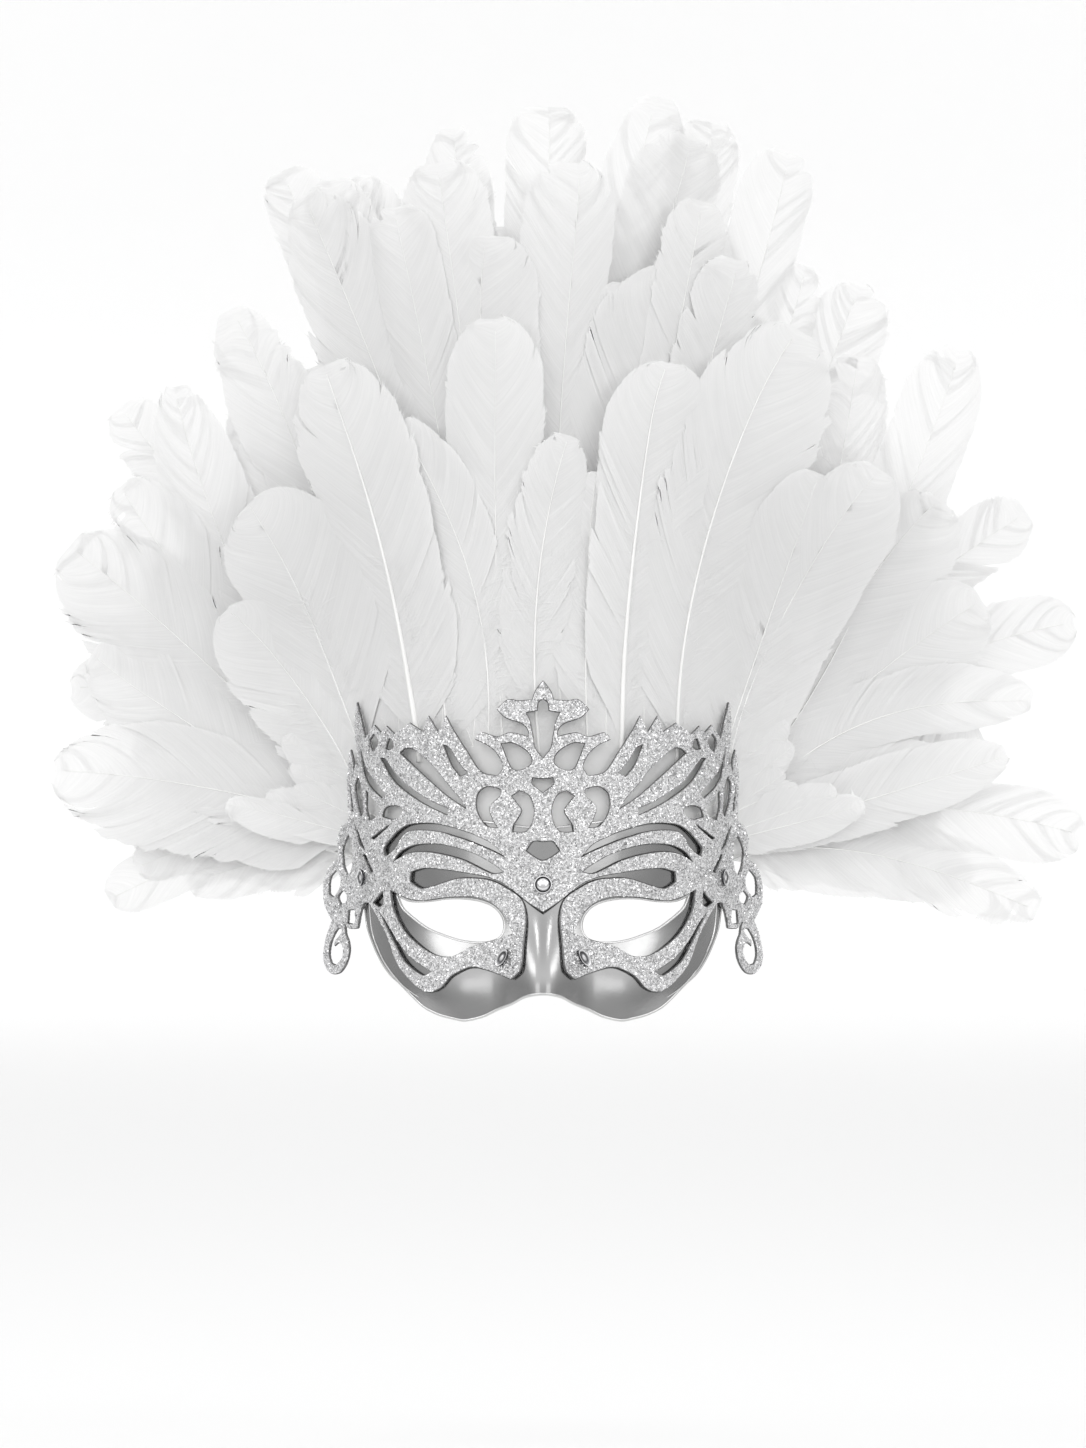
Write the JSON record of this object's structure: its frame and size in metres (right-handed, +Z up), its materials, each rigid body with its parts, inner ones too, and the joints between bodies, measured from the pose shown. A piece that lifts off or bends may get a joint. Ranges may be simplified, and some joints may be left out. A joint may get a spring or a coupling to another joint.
{
  "type": "feather masquerade mask",
  "caption": "Venetian half mask in satin silver with a cut glitter lattice, polished studs and a tall fan of white wing feathers in rows.",
  "frame": {"origin": "seat of the nose bridge on the inner side of the shell", "axes": "+X to the right of the picture, +Y from the face back into the head, +Z up to the feather tips"},
  "size_m": [0.4429, 0.1637, 0.3988],
  "materials": {
    "silver_satin": "satin silver, metallised",
    "silver_glitter": "silver glitter on stiff felt",
    "polished_stud": "polished",
    "white_feather": "white wing feathers on felt strips"
  },
  "bodies": {
    "root": {"mask_shell": "silver_satin", "glitter_lattice": "silver_glitter", "brow_stud": "polished_stud", "cheek_stud_left": "polished_stud", "cheek_stud_right": "polished_stud", "temple_stud_left": "polished_stud", "temple_stud_right": "polished_stud", "feather_row_front": "white_feather", "feather_row_middle": "white_feather", "feather_row_back": "white_feather"}
  },
  "joints": []
}
